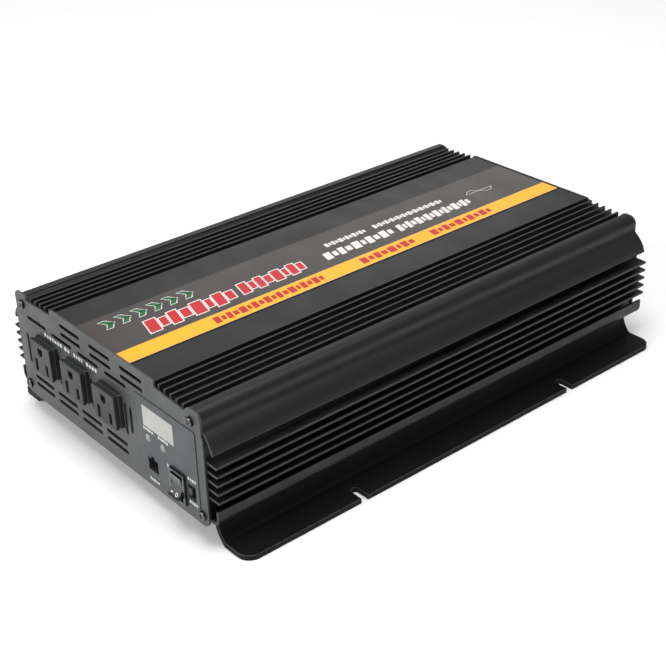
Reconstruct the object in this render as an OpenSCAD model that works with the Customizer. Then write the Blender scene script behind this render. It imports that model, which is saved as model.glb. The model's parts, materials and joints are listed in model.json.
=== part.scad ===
// Power inverter: a two-part extruded housing on a footed base, with an
// output panel in front, and fans and DC terminals on the rear panel.
// +X is to the right seen from the front, +Y runs to the rear, +Z is up.
// The feet stand at z = 0 and the origin is the middle of the footprint.

/* [Housing] */
// Width of the end panels
panel_w = 203; // [196:1:260]
// Height of the end panels at their raised middle
panel_h = 77; // [74:1:100]
// Thickness of the end panels
panel_t = 1.6; // [1.5:0.1:3]
// Length of the extrusions between the end panels
body_l = 366; // [350:1:460]
// Gap between the floor and the lower edge of the end panels
ground_gap = 14; // [12:0.5:20]
// Thickness of the extruded walls
wall_t = 2.2; // [1.6:0.1:2.4]
// Gap between pieces that are set into each other
fit_gap = 0.2; // [0.1:0.05:0.4]

/* [Cooling fins] */
// Number of fins on each side of the top
top_fins = 5; // [2:1:5]
// Distance from fin to fin on the top
top_fin_pitch = 5.9; // [4:0.1:7]
// Depth of the grooves between the top fins
top_groove = 6; // [4:0.5:6]
// Number of fins on each side wall
side_fins = 5; // [2:1:6]
// Distance from fin to fin on the side walls
side_fin_pitch = 5.8; // [4:0.1:7]
// How far the side fins stand out of the wall
side_fin_l = 10.4; // [6:0.1:11]
// Thickness of a fin
fin_t = 1.5; // [1:0.1:2.2]

/* [Feet] */
// Width over the outer edges of both feet
foot_w = 252; // [245:1:310]
// Thickness of the base plate and its feet
foot_t = 3.5; // [2.5:0.1:4]
// How far the base stops short of each end of the housing
foot_inset = 5.2; // [2:0.1:12]
// Radius of the corners of the feet
foot_r = 9; // [4:0.5:11]
// Width of the open screw slots
slot_w = 5.2; // [4.5:0.1:6.5]
// Length of the open screw slots
slot_l = 11.4; // [8:0.1:12]
// Distance between the two screw slots of a foot
slot_pitch = 181.4; // [120:0.1:260]

/* [Outlets] */
// Distance from outlet to outlet
outlet_pitch = 36.8; // [34:0.1:40]
// Width of the outlet block
outlet_w = 24; // [22:0.1:26]
// Height of the outlet block
outlet_h = 23.5; // [22:0.1:26]
// How far the outlets stand out of the front panel
outlet_proud = 6; // [3:0.1:9]
// Distance between the two blade slots
blade_pitch = 12.7; // [12.5:0.1:12.9]

/* [Controls] */
// Width of the control overlay
overlay_w = 60; // [56:0.5:70]
// Height of the control overlay
overlay_h = 53.7; // [50:0.1:60]
// Diameter of the indicator lamps
led_d = 5; // [4:0.1:6]
// Width of the rocker switch frame
rocker_w = 15; // [14:0.1:17]
// Height of the rocker switch frame
rocker_h = 21; // [19:0.1:24]
// Angle that the rocker turns through
rocker_angle = 20; // [12:1:24]
// Travel of the slide switch
slide_travel = 3.6; // [2:0.1:3.8]

/* [Fans] */
// Width and height of a fan
fan_size = 60; // [50:1:60]
// Depth of a fan
fan_depth = 20; // [15:1:25]
// Distance from each side edge of the end panels to a fan axis
fan_inset = 45.5; // [45:0.5:46.5]
// Number of fan blades
fan_blades = 7; // [5:1:9]
// Length of the blades of each rotor, across its hub
rotor_d = 53; // [44:0.5:54]
// Diameter of the pin on which a rotor turns
fan_pin_d = 5; // [4:0.5:6]

/* [Terminals] */
// Diameter of the terminal studs
stud_d = 8; // [6:0.5:10]
// How far the studs stand out of the rear panel
stud_proud = 30; // [28:0.5:40]
// Distance between the studs of one terminal
stud_pitch = 30; // [26:0.5:34]
// Distance between the two terminals
terminal_spacing = 32; // [30:0.5:34]
// Diameter of the terminal knobs
knob_d = 21; // [18:0.5:24]
// Length of the terminal knobs
knob_l = 15; // [12:0.5:15]

/* [Inside] */
// Height of the spacers under the main board
spacer_h = 8; // [6:0.5:12]
// Thickness of the circuit boards
board_t = 1.6; // [1:0.1:2]
// Length of the main board
board_l = 300; // [280:1:310]
// Number of transistors on each side wall
transistors = 9; // [4:1:10]

/* [Hidden] */
$fn = 48;

eps = 0.01;
// Lengthwise stations, from the outlet faces to the stud tips
overall_l = outlet_proud + 2 * panel_t + body_l + stud_proud;
face_y = outlet_proud - overall_l / 2;
shell_y0 = face_y + panel_t;
shell_y1 = shell_y0 + body_l;
rear_y = shell_y1 + panel_t;
mid_y = (shell_y0 + shell_y1) / 2;

// Heights
half_w = panel_w / 2;
base_z = ground_gap + 0.4;
floor_z = base_z + foot_t;
deck_z = floor_z + wall_t;
top_z = ground_gap + panel_h - 2;
groove_z = top_z - top_groove;
board_z = deck_z + spacer_h;
parts_z = board_z + board_t;

// Side wall of the chassis and what stands on it
wall_x = half_w - 1.2;
wall_top = top_z - 14.5;
skirt_tip_z = top_z - 23.5;
first_fin_z = skirt_tip_z - 7;
lip_z = floor_z + 0.4;
lip_r = 5.4;
lip_t = 1.8;
lip_top = lip_z + 10.4;
lip_x = wall_x + 3.4;

// Shoulder, S-shaped skirt and inner leg of the top cover
shoulder_r = 6.5;
shoulder_x = half_w - 9.5;
shoulder_z = top_z - 7.1;
skirt_t = 1.8;
skirt_turn = 55;
hollow_x = shoulder_x + 2 * shoulder_r;
bell_r = 18.4;
bell_x = hollow_x - (shoulder_r + bell_r) * cos(skirt_turn);
bell_z = shoulder_z - (shoulder_r + bell_r) * sin(skirt_turn);
leg_x = wall_x - wall_t - 2 * fit_gap;
leg_l = 20;
flat_x = half_w - 46.9;
first_top_fin = half_w - 41.9;

// Screws that hold the end panels
screw_d = 3;
screw_head_r = 3;
screw_boss_r = 3.5;
screw_l = 12;
top_screw = [half_w - 9.7, top_z - 7.65];
low_screw = [half_w - 4.7, floor_z + 3.5];

// Foot profile: a hollow web runs down from the base plate to a crease
foot_edge_x = foot_w / 2;
web_x = half_w - 1.5;
web_turn = 50;
bend_z = base_z + foot_t - 1.4;
bend_r = (bend_z - foot_t) / sin(web_turn);
bend_x = web_x + bend_r;
crease_x = bend_x - bend_r * cos(web_turn);
foot_y0 = shell_y0 + foot_inset;
foot_y1 = shell_y1 - foot_inset;
base_screw_x = half_w - 26;
base_screw_y = body_l * 0.4;

// Front panel layout, measured from its left and lower edges
slot_len = 23.5;
slot_wide = 2.8;
outlet_z = ground_gap + 40;
outlet_x0 = 36.5 - half_w;
overlay_x = half_w - 6.5 - overlay_w / 2;
overlay_z = ground_gap + 7.5 + overlay_h / 2;
overlay_t = 0.4;
window_w = 30.6;
window_h = 13.8;
window_at = [overlay_x - 7.1, overlay_z + 14.4];
led_z = overlay_z + 0.4;
led_x = [overlay_x - 18.5, overlay_x - 3.4];
jack_w = 13;
jack_at = [overlay_x - 16, overlay_z - 17.9];
jack_mouth = [10, 8.4];
jack_depth = 12;
rocker_proud = 2;
rocker_open = [rocker_w - 4, rocker_h - 4];
rocker_at = [overlay_x + 9.7, deck_z + rocker_open[1] / 2 + 1.35];
rocker_pin_r = 1.2;
rocker_pivot_y = face_y + 3;
slide_at = [overlay_x + 23, overlay_z - 16.3];
slide_w = 7;
slide_h = 9.8;
slide_knob_w = 3.4;
slide_knob_h = 4.2;

// Outlets behind the panel
outlet_back = 20;
outlet_flange = 2;
blade_w = 2.8;
blade_h = 7.6;
blade_drop = 5.4;
earth_rise = 5.2;
earth_d = 5.3;
blade_depth = 17;

// Rear panel layout
fan_z = (deck_z + groove_z - wall_t) / 2;
fan_x = half_w - fan_inset;
fan_open_d = fan_size - 4;
fan_screw_at = fan_size / 2 - 5;
fan_y1 = shell_y1 - eps;
fan_y0 = fan_y1 - fan_depth;
guard_wire = 1.6;
guard_proud = 3;
terminal_z = fan_z - 1.5;
terminal_w = min(terminal_spacing - 10,
                 2 * (fan_x - fan_screw_at - 4) - terminal_spacing);
terminal_t = 7;
lug_gap = 3;
knob_y0 = rear_y + terminal_t + lug_gap;
knob_lobes = 10;
ground_at = [0, deck_z + 4.9];

// Places inside
board_w = 2 * (leg_x - wall_t) - 12;
board_y0 = shell_y0 + 26;
board_hole = 3;
spacer_x = board_w / 2 - 5;
spacer_y = [for (i = [0:3]) board_y0 + 8 + i * (board_l - 16) / 3];
pad_t = 0.3;
transistor_w = 10.2;
transistor_t = 4.6;
transistor_h = 15;
transistor_z = parts_z + 4;
transistor_x = wall_x - wall_t - pad_t - transistor_t;
bar_y0 = board_y0 + 22;
bar_l = board_l - 44;
bar_t = 2;
clamp_reach = bar_t + transistor_t + pad_t + wall_t - 0.5;

// ---------------------------------------------------------------- helpers

// Extrudes an outline drawn in X and Z from y0 to y1
module along_y(y0, y1) {
    translate([0, y1, 0]) rotate([90, 0, 0])
        linear_extrude(height = y1 - y0) children();
}

// A cylinder along Y from y0 to y1
module rod_y(r, x, z, y0, y1) {
    translate([x, y0, z]) rotate([-90, 0, 0]) cylinder(r = r, h = y1 - y0);
}

// Both halves of something that is symmetric about X = 0
module both_sides() {
    children();
    mirror([1, 0, 0]) children();
}

// A rectangle with round corners, centred
module round_rect(w, h, r) {
    square([w - 2 * r, h], center = true);
    square([w, h - 2 * r], center = true);
    for (x = [-1, 1], y = [-1, 1])
        translate([x * (w / 2 - r), y * (h / 2 - r)]) circle(r = r);
}

// A slot with round ends, centred, its length along X
module round_slot(l, w) {
    square([l - w, w], center = true);
    for (x = [-1, 1]) translate([x * (l - w) / 2, 0]) circle(d = w);
}

// The part of a ring between two angles
module arc_strip(r_in, r_out, from, to) {
    reach = 2 * r_out;
    middle = (from + to) / 2;
    intersection() {
        difference() {
            circle(r = r_out, $fn = 96);
            circle(r = r_in, $fn = 96);
        }
        polygon([[0, 0], reach * [cos(from), sin(from)],
                 reach * [cos(middle), sin(middle)],
                 reach * [cos(to), sin(to)]]);
    }
}

// The four places of the end panel screws
module at_panel_screws() {
    for (side = [-1, 1], place = [top_screw, low_screw])
        translate([side * place[0], 0, place[1]]) children();
}

// A pan head screw along Y: its shank runs from the head towards dir
module panel_screw(y, dir) {
    head_h = 2.1;
    translate([0, y, 0]) rotate([dir > 0 ? -90 : 90, 0, 0]) {
        cylinder(d = screw_d, h = screw_l);
        difference() {
            translate([0, 0, -head_h]) intersection() {
                cylinder(r = screw_head_r, h = head_h);
                translate([0, 0, 3.4]) sphere(r = 4.2);
            }
            for (turn = [0, 90]) rotate(turn)
                translate([-1.7, -0.4, -head_h - 1]) cube([3.4, 0.8, 2]);
        }
    }
}

// ---------------------------------------------------------------- housing

module top_cover_half() {
    thick = wall_t;
    // Flat deck and the step down to the grooves
    translate([-eps, top_z - thick]) square([flat_x + eps, thick]);
    translate([flat_x - thick, groove_z - thick])
        square([thick, top_z - groove_z + thick]);
    translate([flat_x - thick, groove_z - thick])
        square([shoulder_x - 3 - flat_x + thick, thick]);
    for (i = [0:top_fins - 1])
        translate([first_top_fin + i * top_fin_pitch - fin_t / 2,
                   groove_z - eps])
            square([fin_t, top_groove + 0.2 - 0.35 * i]);
    // Shoulder with the screw channel, and the inner leg
    difference() {
        union() {
            translate([shoulder_x, shoulder_z]) circle(r = shoulder_r);
            translate([shoulder_x - 3.6, shoulder_z - 4])
                square([4, shoulder_r + 4 - 0.8]);
            translate([shoulder_x - 2.8, shoulder_z + shoulder_r - 0.8])
                circle(r = 0.8);
            translate([shoulder_x - 2.8, shoulder_z + shoulder_r - 1.6])
                square([2.8, 1.6]);
        }
        translate(top_screw) circle(d = screw_d + 2 * fit_gap);
    }
    translate([leg_x - wall_t, shoulder_z - leg_l])
        square([wall_t, leg_l - 2.4]);
    // Skirt: hollow under the shoulder, then a bell curve to its free end
    translate([hollow_x, shoulder_z])
        arc_strip(shoulder_r, shoulder_r + skirt_t, 180, 180 + skirt_turn);
    translate([hollow_x, shoulder_z]) rotate(180 + skirt_turn)
        translate([shoulder_r + skirt_t / 2, 0])
        square([skirt_t * 0.8, 1], center = true);
    tip_turn = asin((skirt_tip_z + skirt_t / 2 - bell_z) / bell_r);
    translate([bell_x, bell_z])
        arc_strip(bell_r - skirt_t, bell_r, tip_turn, skirt_turn);
    tip_r = bell_r - skirt_t / 2;
    translate([bell_x + tip_r * cos(tip_turn), bell_z + tip_r * sin(tip_turn)])
        circle(d = skirt_t);
}

module top_cover() {
    color([0.09, 0.09, 0.1]) along_y(shell_y0, shell_y1)
        both_sides() top_cover_half();
}

module chassis_half() {
    difference() {
        union() {
            translate([-eps, floor_z]) square([wall_x + eps, wall_t]);
            translate([wall_x - wall_t, floor_z])
                square([wall_t, wall_top - floor_z]);
            translate(low_screw) circle(r = screw_boss_r);
        }
        translate(low_screw) circle(d = screw_d + 2 * fit_gap);
    }
    for (i = [0:side_fins - 1])
        translate([wall_x - eps, first_fin_z - i * side_fin_pitch - fin_t / 2])
            square([side_fin_l + eps, fin_t]);
    // Upturned lip along the lower edge
    translate([wall_x - eps, lip_z]) square([lip_x - wall_x + eps, lip_t]);
    translate([lip_x, lip_z + lip_r]) arc_strip(lip_r - lip_t, lip_r, 270, 360);
    translate([lip_x + lip_r - lip_t, lip_z + lip_r])
        square([lip_t, lip_top - lip_z - lip_r]);
}

module chassis() {
    color([0.08, 0.08, 0.09]) difference() {
        along_y(shell_y0, shell_y1) both_sides() chassis_half();
        for (x = [-1, 1], y = [-1, 0, 1])
            translate([x * base_screw_x, mid_y + y * base_screw_y,
                       floor_z - 1])
                cylinder(d = screw_d + 2 * fit_gap, h = wall_t + 2);
        for (x = [-1, 1], y = spacer_y)
            translate([x * spacer_x, y, floor_z - 1])
                cylinder(d = board_hole + 2 * fit_gap, h = wall_t + 2);
        for (x = [-1, 1]) clamp_screw_places(x) rotate([0, x * 90, 0])
            cylinder(d = screw_d + 2 * fit_gap, h = clamp_reach + fit_gap);
    }
}

module mounting_base_half() {
    translate([0, base_z]) square([web_x - foot_t, foot_t]);
    translate([web_x - foot_t, bend_z])
        square([foot_t, base_z + foot_t - bend_z]);
    intersection() {
        translate([bend_x, bend_z])
            arc_strip(bend_r, bend_r + foot_t, 180, 190 + web_turn);
        square([foot_edge_x, bend_z]);
    }
    translate([crease_x - 1, 0]) square([foot_edge_x - crease_x + 1, foot_t]);
}

module mounting_base() {
    color([0.07, 0.07, 0.08]) difference() {
        along_y(foot_y0, foot_y1) both_sides() mounting_base_half();
        for (x = [-1, 1], end = [-1, 1]) {
            translate([x * (foot_edge_x - foot_r),
                       mid_y + end * ((foot_y1 - foot_y0) / 2 - foot_r), -1])
                foot_corner(x, end);
            translate([x * foot_edge_x, mid_y + end * slot_pitch / 2, -1])
                open_slot();
        }
        for (x = [-1, 1], y = [-1, 0, 1])
            translate([x * base_screw_x, mid_y + y * base_screw_y, base_z - 1])
                cylinder(d = screw_d + 2 * fit_gap, h = foot_t + 2);
    }
}

// What is cut away to round a corner of a foot
module foot_corner(side, end) {
    difference() {
        translate([side > 0 ? 0 : -2 * foot_r, end > 0 ? 0 : -2 * foot_r, 0])
            cube([2 * foot_r, 2 * foot_r, foot_t + 2]);
        translate([0, 0, -1]) cylinder(r = foot_r, h = foot_t + 4);
    }
}

// A screw slot that runs out through the edge of a foot
module open_slot() {
    h = foot_t + 2;
    reach = slot_l - slot_w / 2;
    for (side = [-1, 1]) translate([side * reach, 0, 0])
        cylinder(d = slot_w, h = h);
    translate([-reach, -slot_w / 2, 0]) cube([2 * reach, slot_w, h]);
}

// Outline of an end panel: ears in front of the shoulders, a crown between
module panel_outline(neck_x, ear_r, ear_top, crown_top) {
    corner = 5;
    crown_r = 3;
    side_top = top_z - 12;
    ear_z = ear_top - ear_r;
    ear_x = neck_x - 13.8;
    crown_x = flat_x + 2.6;
    edge = [[half_w - corner, ground_gap], [half_w, ground_gap + corner],
            [half_w, side_top - corner], [neck_x, side_top - corner],
            [neck_x, ear_z], [neck_x - ear_r, ear_top],
            [ear_x + ear_r, ear_top], [ear_x, ear_z],
            [crown_x, top_z - 2.5], [crown_x, crown_top - crown_r],
            [crown_x - crown_r, crown_top]];
    polygon(concat(edge, [for (i = [len(edge) - 1:-1:0])
                          [-edge[i][0], edge[i][1]]]));
    both_sides() {
        translate([half_w - corner, ground_gap + corner]) circle(r = corner);
        translate([half_w - corner, side_top - corner]) circle(r = corner);
        translate([neck_x - ear_r, ear_z]) circle(r = ear_r);
        translate([ear_x + ear_r, ear_z]) circle(r = ear_r);
        translate([crown_x - crown_r, crown_top - crown_r])
            circle(r = crown_r);
    }
}

module front_outline() {
    panel_outline(half_w - 1.1, 3.8, top_z - 0.2, ground_gap + panel_h);
}

// The rear panel stays inside the shoulders, and its crown is only just proud
module rear_outline() {
    panel_outline(shoulder_x + shoulder_r - 0.3, 5.5,
                  shoulder_z + shoulder_r - 0.3, top_z + 0.4);
}

// Vents of the front panel: rows of slots, and a column beside each outlet
module front_vents() {
    lower_pitch = 28.6;
    mid_pitch = 30.3;
    upper_pitch = 33.6;
    left = -half_w;
    for (row = [0, 1], i = [0:3])
        translate([left + 24.9 + i * lower_pitch,
                   ground_gap + 10.7 + row * 5.7])
            round_slot(slot_len, slot_wide);
    translate([left + 25.2, ground_gap + 59.7])
        round_slot(slot_len, slot_wide);
    for (i = [0:2])
        translate([left + 55.6 + i * mid_pitch, ground_gap + 59])
            round_slot(slot_len, slot_wide);
    for (row = [0, 1], i = [0:2])
        translate([left + 67.2 + i * upper_pitch,
                   ground_gap + 64.6 + row * 5.9])
            round_slot(slot_len, slot_wide);
    for (x = [10.5, 48.9, 87, 124])
        translate([left + x, outlet_z - 4.2]) rotate(90)
            round_slot(22, slot_wide);
    translate([left + 129.9, outlet_z - 2.6]) rotate(90)
        round_slot(18.5, slot_wide);
}

module front_panel() {
    color([0.14, 0.15, 0.17]) along_y(face_y, shell_y0) difference() {
        front_outline();
        front_vents();
        for (i = [0:2]) translate([outlet_x0 + i * outlet_pitch, outlet_z])
            square([outlet_w + fit_gap, outlet_h + fit_gap], center = true);
        translate(window_at)
            square([window_w + fit_gap, window_h + fit_gap], center = true);
        for (x = led_x) translate([x, led_z]) circle(d = led_d + fit_gap);
        translate(jack_at)
            square([jack_w + fit_gap, jack_w + fit_gap],
                   center = true);
        translate(rocker_at)
            square([rocker_w - 2 + fit_gap, rocker_h - 2 + fit_gap],
                   center = true);
        translate(slide_at)
            square([slide_w + fit_gap, slide_h + fit_gap], center = true);
        for (side = [-1, 1], place = [top_screw, low_screw])
            translate([side * place[0], place[1]])
                circle(d = screw_d + 2 * fit_gap);
    }
}

module rear_panel() {
    color([0.14, 0.15, 0.17]) along_y(shell_y1, rear_y) difference() {
        rear_outline();
        for (side = [-1, 1]) {
            translate([side * fan_x, fan_z]) {
                circle(d = fan_open_d, $fn = 96);
                for (x = [-1, 1], z = [-1, 1])
                    translate([x, z] * fan_screw_at)
                        circle(d = screw_d + 2 * fit_gap);
            }
            for (z = [-1, 1])
                translate([side * terminal_spacing / 2,
                           terminal_z + z * stud_pitch / 2])
                    circle(d = stud_d + 4 + 2 * fit_gap);
            for (place = [top_screw, low_screw])
                translate([side * place[0], place[1]])
                    circle(d = screw_d + 2 * fit_gap);
        }
        translate(ground_at) circle(d = 5 + 2 * fit_gap);
    }
}

module front_panel_screws() {
    color("silver") at_panel_screws() panel_screw(face_y, 1);
}

module rear_panel_screws() {
    color("silver") at_panel_screws() panel_screw(rear_y, -1);
}

module base_screws() {
    color("silver") for (x = [-1, 1], y = [-1, 0, 1])
        translate([x * base_screw_x, mid_y + y * base_screw_y, 0]) {
            translate([0, 0, base_z - 1.8]) cylinder(r = 2.9, h = 1.8);
            translate([0, 0, base_z - eps])
                cylinder(d = screw_d, h = foot_t + wall_t + eps);
        }
}

module top_label() {
    label_w = 60.2;
    label_x0 = -31;
    label_margin = 1.2;
    color([0.27, 0.25, 0.24])
        translate([label_x0, shell_y0 + label_margin, top_z])
        cube([label_w, body_l - 2 * label_margin, 0.3]);
}

// --------------------------------------------------------- front controls

module control_overlay() {
    color([0.12, 0.13, 0.15]) along_y(face_y - overlay_t, face_y)
        difference() {
        translate([overlay_x, overlay_z]) round_rect(overlay_w, overlay_h, 1.5);
        translate(window_at)
            square([window_w + fit_gap, window_h + fit_gap], center = true);
        for (x = led_x) translate([x, led_z]) circle(d = led_d + fit_gap);
        for (place = [low_screw, top_screw]) translate(place)
            circle(r = screw_head_r + 2 * fit_gap);
        translate(jack_at) jack_opening(fit_gap);
        translate(rocker_at)
            square([rocker_w + fit_gap, rocker_h + fit_gap], center = true);
        translate(slide_at)
            square([slide_w + fit_gap, slide_h + fit_gap], center = true);
    }
}

module display_window() {
    color([0.8, 0.82, 0.84, 0.6])
        along_y(face_y - overlay_t, shell_y0)
        translate(window_at) square([window_w, window_h], center = true);
}

module display_module() {
    depth = 7;
    color([0.1, 0.1, 0.1]) {
        along_y(shell_y0 + fit_gap, shell_y0 + depth)
            translate(window_at) square([window_w, window_h + 3], center = true);
        along_y(shell_y0 + depth, shell_y0 + depth + board_t)
            translate(window_at) square([window_w + 8, window_h + 8],
                                        center = true);
    }
}

module led(x) {
    translate([x, 0, led_z]) {
        rod_y(led_d / 2, 0, 0, face_y - 0.6, face_y + 5);
        translate([0, face_y - 0.6, 0]) intersection() {
            translate([0, led_d / 2 - 1, 0]) sphere(d = led_d);
            translate([-led_d, -1, -led_d]) cube([2 * led_d, 1, 2 * led_d]);
        }
        rod_y(led_d / 2 + 0.5, 0, 0, shell_y0 + fit_gap, face_y + 5);
    }
}

module power_led() { color([0.85, 0.9, 0.85]) led(led_x[0]); }

module fault_led() { color([0.9, 0.85, 0.85]) led(led_x[1]); }

// The stepped opening of the socket, drawn in X and Z
module jack_opening(gap) {
    notch_w = 3.1;
    notch_h = 2.1;
    square([jack_mouth[0] + gap, jack_mouth[1] + gap], center = true);
    translate([-notch_w / 2, jack_mouth[1] / 2 - 1])
        square([notch_w, notch_h + 1]);
}

module remote_jack() {
    color([0.05, 0.05, 0.05]) translate([jack_at[0], 0, jack_at[1]])
        difference() {
        along_y(face_y + eps, face_y + jack_depth + 2)
            square(jack_w, center = true);
        along_y(face_y - 1, face_y + jack_depth) jack_opening(0);
    }
}

module jack_contacts() {
    contacts = 4;
    contact_pitch = 1.3;
    color("gold") for (i = [0:contacts - 1])
        translate([jack_at[0] + (i - (contacts - 1) / 2) * contact_pitch - 0.25,
                   face_y + 2, jack_at[1] - jack_mouth[1] / 2 + 0.1])
            cube([0.5, jack_depth - 2.1, 1.2]);
}

module rocker_frame() {
    depth = 14;
    color([0.04, 0.04, 0.04]) translate([rocker_at[0], 0, rocker_at[1]])
        difference() {
        union() {
            along_y(face_y - rocker_proud, face_y)
                round_rect(rocker_w, rocker_h, 1.2);
            along_y(face_y - eps, face_y + depth)
                square([rocker_w - 2, rocker_h - 2], center = true);
        }
        along_y(face_y - rocker_proud - 1, face_y + depth - 2)
            square(rocker_open, center = true);
        translate([-rocker_w, rocker_pivot_y, 0]) rotate([0, 90, 0])
            cylinder(r = rocker_pin_r + 0.05, h = 2 * rocker_w);
    }
}

// Side view of the rocker in its middle position, drawn in Y and Z
module rocker_side() {
    half = rocker_open[1] / 2 - 1.3;
    front = rocker_pivot_y - face_y + rocker_proud;
    polygon([[-front - 2.4, -half], [-front + 0.4, 0], [-front - 2.4, half],
             [-front + 2.2, half - 0.2], [2.4, half * 0.35],
             [2.4, -half * 0.35], [-front + 2.2, 0.2 - half]]);
}

module rocker() {
    wide = rocker_open[0] - 0.6;
    color([0.06, 0.06, 0.06])
        translate([rocker_at[0], rocker_pivot_y, rocker_at[1]])
        rotate([-rocker_angle / 2, 0, 0]) {
        translate([-wide / 2, 0, 0]) rotate([90, 0, 90])
            linear_extrude(height = wide) rocker_side();
        translate([-wide / 2 - 1.2, 0, 0]) rotate([0, 90, 0])
            cylinder(r = rocker_pin_r, h = wide + 2.4);
    }
}

module slide_switch_body() {
    depth = 7;
    color([0.05, 0.05, 0.05]) translate([slide_at[0], 0, slide_at[1]])
        difference() {
        along_y(face_y + 0.6, face_y + depth)
            square([slide_w, slide_h], center = true);
        along_y(face_y - 1, face_y + 3.6)
            square([slide_knob_w + 0.6, slide_knob_h + slide_travel + 0.6],
                   center = true);
    }
}

module slide_knob() {
    rise = slide_travel / 2;
    color([0.08, 0.08, 0.08]) translate([slide_at[0], 0, slide_at[1] + rise])
        along_y(face_y - 1.6, face_y + 3.3)
        square([slide_knob_w, slide_knob_h], center = true);
}

// ---------------------------------------------------------------- outlets

// The blade slots and the earth hole, drawn in X and Z
module outlet_holes() {
    for (side = [-1, 1])
        translate([side * blade_pitch / 2, -blade_drop])
            square([blade_w, blade_h + (side > 0 ? 0 : 1)], center = true);
    translate([0, earth_rise]) {
        circle(d = earth_d);
        translate([-earth_d / 2, 0]) square([earth_d, earth_d / 2]);
    }
}

module outlet(index) {
    front_t = outlet_proud * 0.37;
    groove_w = 1.3;
    groove_d = 0.6;
    edge_r = 1.6;
    front_y = face_y - outlet_proud;
    color([0.05, 0.05, 0.055])
        translate([outlet_x0 + index * outlet_pitch, 0, outlet_z])
        difference() {
        union() {
            along_y(front_y, front_y + front_t)
                round_rect(outlet_w, outlet_h, edge_r);
            along_y(front_y + front_t - eps, face_y)
                round_rect(outlet_w - 2 * groove_d, outlet_h - 2 * groove_d,
                           edge_r);
            along_y(front_y + front_t + groove_w, face_y)
                round_rect(outlet_w, outlet_h, edge_r);
            along_y(face_y - eps, shell_y0 + outlet_back)
                square([outlet_w, outlet_h], center = true);
            along_y(shell_y0 + fit_gap, shell_y0 + outlet_flange)
                square([outlet_w + 4, outlet_h + 4], center = true);
        }
        along_y(front_y - 1, front_y + blade_depth) outlet_holes();
    }
}

module outlet_left() { outlet(0); }

module outlet_middle() { outlet(1); }

module outlet_right() { outlet(2); }

module outlet_contacts() {
    tab = [1, 6, 5];
    deep = face_y - outlet_proud + blade_depth - tab[1];
    color([0.8, 0.65, 0.3]) for (i = [0:2])
        translate([outlet_x0 + i * outlet_pitch, deep, outlet_z]) {
            for (side = [-1, 1], wall = [-1, 1])
                translate([side * blade_pitch / 2
                           + wall * (blade_w / 2 - 0.4) - 0.4,
                           0, -blade_drop - tab[2] / 2])
                    cube([0.8, tab[1], tab[2]]);
            translate([0, 0, earth_rise]) rotate([-90, 0, 0]) difference() {
                cylinder(d = earth_d, h = tab[1]);
                translate([0, 0, -1]) cylinder(d = earth_d - 1.2,
                                               h = tab[1] + 2);
            }
        }
}

// ------------------------------------------------------------------- fans

module fan_frame(side) {
    strut_w = 4;
    strut_t = 2.4;
    hub_r = 14;
    bore_r = rotor_d / 2 + 0.8;
    color([0.06, 0.06, 0.06]) translate([side * fan_x, 0, fan_z]) {
        along_y(fan_y0, fan_y1) difference() {
            round_rect(fan_size, fan_size, 3);
            circle(r = bore_r, $fn = 96);
            for (x = [-1, 1], z = [-1, 1]) translate([x, z] * fan_screw_at)
                circle(d = screw_d + 2 * fit_gap);
        }
        // Struts, motor seat and the pin that the rotor turns on
        along_y(fan_y0, fan_y0 + strut_t) {
            circle(r = hub_r);
            for (turn = [45:90:315]) rotate(turn)
                translate([hub_r - 1, -strut_w / 2])
                square([bore_r - hub_r + 1.5, strut_w]);
        }
        rod_y(fan_pin_d / 2, 0, 0, fan_y0 + strut_t - eps, fan_y1 - 5);
    }
}

module fan_frame_left() { fan_frame(-1); }

module fan_frame_right() { fan_frame(1); }

module fan_rotor(side) {
    hub_r = 13.5;
    hub_y0 = fan_y0 + 3;
    hub_y1 = fan_y1 - 3;
    chord = 17;
    blade_t = 1.4;
    color([0.1, 0.1, 0.1]) translate([side * fan_x, 0, fan_z])
        difference() {
        union() {
            rod_y(hub_r, 0, 0, hub_y0, hub_y1);
            intersection() {
                for (i = [0:fan_blades - 1])
                    rotate([0, i * 360 / fan_blades, 0])
                    translate([0, (hub_y0 + hub_y1) / 2, 0])
                    rotate([0, 0, 38])
                    translate([-chord / 2, -blade_t / 2, hub_r - 2])
                    cube([chord, blade_t, rotor_d / 2]);
                rod_y(rotor_d / 2, 0, 0, hub_y0 + 0.5, hub_y1 - 0.5);
            }
        }
        rod_y(fan_pin_d / 2 + 0.05, 0, 0, hub_y0 - 1, fan_y1 - 4.8);
    }
}

module fan_rotor_left() { fan_rotor(-1); }

module fan_rotor_right() { fan_rotor(1); }

module fan_guard(side) {
    inner_ring_r = 9;
    outer_ring_r = fan_open_d / 2 - 2.5;
    ring_pitch = (outer_ring_r - inner_ring_r) / 3;
    wire_y = rear_y + guard_proud - guard_wire / 2;
    spoke_r = fan_screw_at * sqrt(2) - 3.1;
    color("silver") translate([side * fan_x, 0, fan_z]) {
        for (i = [0:3]) translate([0, wire_y, 0]) rotate([90, 0, 0])
            rotate_extrude($fn = 96)
            translate([inner_ring_r + i * ring_pitch, 0])
            circle(d = guard_wire, $fn = 16);
        difference() {
            union() {
                for (turn = [45:90:315]) rotate([0, turn, 0])
                    translate([6, wire_y - 1, 0]) rotate([0, 90, 0])
                    cylinder(d = guard_wire, h = spoke_r - 6, $fn = 16);
                // Flat eyes under the four screws
                for (x = [-1, 1], z = [-1, 1])
                    rod_y(3.6, x * fan_screw_at, z * fan_screw_at,
                          rear_y, rear_y + 1.2);
            }
            for (x = [-1, 1], z = [-1, 1])
                rod_y(screw_d / 2 + fit_gap, x * fan_screw_at,
                      z * fan_screw_at, rear_y - 1, rear_y + 4);
        }
    }
}

module fan_guard_left() { fan_guard(-1); }

module fan_guard_right() { fan_guard(1); }

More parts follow.
